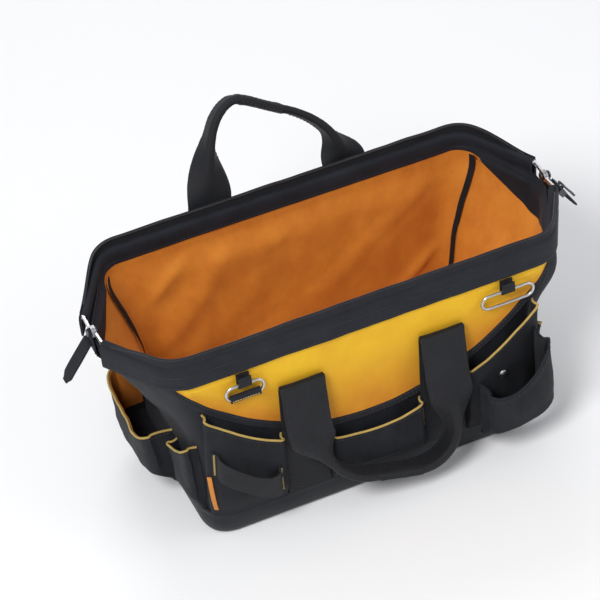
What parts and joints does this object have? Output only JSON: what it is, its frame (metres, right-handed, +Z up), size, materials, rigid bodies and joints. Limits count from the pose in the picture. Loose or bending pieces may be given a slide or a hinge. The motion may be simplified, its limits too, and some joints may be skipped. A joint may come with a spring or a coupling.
{
  "type": "tool bag",
  "caption": "Open-mouthed fabric tool bag on a stiff base, with hinged rim halves, webbing handles, piped pockets, a wide tool loop and wire rings.",
  "frame": {"origin": "the middle of the base's underside, where the bag stands", "axes": "+X along the bag to its right end, -Y to its front, +Z up"},
  "size_m": [0.5982, 0.3231, 0.335],
  "materials": {
    "black_fabric": "matt woven polyester, near black",
    "base_fabric": "coated heavy fabric, near black",
    "yellow_fabric": "matt woven polyester, golden yellow",
    "orange_lining": "matt woven lining, orange",
    "webbing": "ribbed black webbing",
    "piping": "dull gold binding",
    "zip_tape": "fine black zip tape",
    "steel": "bright drawn wire",
    "dark_metal": "black plated metal",
    "board": "black stiffening sheet"
  },
  "bodies": {
    "bag": {"base_board": "board", "base_boot": "base_fabric", "front_centre_piping": "piping", "front_centre_pocket": "black_fabric", "front_left_anchor": "webbing", "front_left_piping": "piping", "front_left_pocket": "black_fabric", "front_outer_piping": "piping", "front_outer_pocket": "black_fabric", "front_panel": "yellow_fabric", "front_right_anchor": "webbing", "front_right_piping": "piping", "front_right_pocket": "black_fabric", "front_tool_loops": "webbing", "left_corner_strip": "orange_lining", "left_end_piping": "piping", "left_end_pocket": "black_fabric", "left_hinge_rivet": "dark_metal", "left_hinge_tab": "webbing", "left_ring_keeper": "webbing", "left_side_piping": "piping", "left_side_pocket": "black_fabric", "left_zip_end": "zip_tape", "lining": "orange_lining", "outer_shell": "black_fabric", "rear_centre_piping": "piping", "rear_centre_pocket": "black_fabric", "rear_left_anchor": "webbing", "rear_left_piping": "piping", "rear_left_pocket": "black_fabric", "rear_panel": "yellow_fabric", "rear_right_anchor": "webbing", "rear_right_piping": "piping", "rear_right_pocket": "black_fabric", "right_end_piping": "piping", "right_end_pocket": "black_fabric", "right_hinge_rivet": "dark_metal", "right_hinge_tab": "webbing", "right_ring_keeper": "webbing", "right_side_piping": "piping", "right_side_pocket": "black_fabric", "right_zip_end": "zip_tape"},
    "front_rim": {"front_rim_rod": "steel", "front_rim_band": "black_fabric", "front_zip_tape": "zip_tape"},
    "rear_rim": {"rear_rim_rod": "steel", "rear_rim_band": "black_fabric", "rear_zip_tape": "zip_tape"},
    "front_handle": {"front_handle": "webbing", "front_grip": "webbing"},
    "rear_handle": {"rear_handle": "webbing", "rear_grip": "webbing"},
    "left_ring": {"left_ring": "steel"},
    "right_ring": {"right_ring": "steel"},
    "zip_slider": {"zip_slider": "dark_metal"},
    "zip_pull": {"zip_pull": "dark_metal"}
  },
  "joints": [
    {"name": "front_rim_hinge", "type": "hinge", "parent": "bag", "child": "front_rim", "pos_m": [0, 0, 0.242], "axis": [-1, 0, 0], "range_deg": [0, 76]},
    {"name": "rear_rim_hinge", "type": "hinge", "parent": "bag", "child": "rear_rim", "pos_m": [0, 0, 0.242], "axis": [1, 0, 0], "range_deg": [0, 76]},
    {"name": "front_handle_swing", "type": "hinge", "parent": "bag", "child": "front_handle", "pos_m": [0, -0.1127, 0.181], "axis": [-1, 0, 0], "range_deg": [0, 160]},
    {"name": "rear_handle_swing", "type": "hinge", "parent": "bag", "child": "rear_handle", "pos_m": [0, 0.1127, 0.181], "axis": [-1, 0, 0], "range_deg": [0, 125]},
    {"name": "left_ring_swing", "type": "hinge", "parent": "bag", "child": "left_ring", "pos_m": [-0.142, -0.1105, 0.207], "axis": [-1, 0, 0], "range_deg": [0, 90]},
    {"name": "right_ring_swing", "type": "hinge", "parent": "bag", "child": "right_ring", "pos_m": [0.158, -0.1105, 0.207], "axis": [-1, 0, 0], "range_deg": [0, 90]},
    {"name": "zip_slide", "type": "slide", "parent": "bag", "child": "zip_slider", "axis": [0.5878, 0, -0.809], "range_m": [0, 0.024]},
    {"name": "zip_pull_swing", "type": "hinge", "parent": "zip_slider", "child": "zip_pull", "pos_m": [0.28161, 0, 0.222], "axis": [0, -1, 0], "range_deg": [0, 150]}
  ]
}
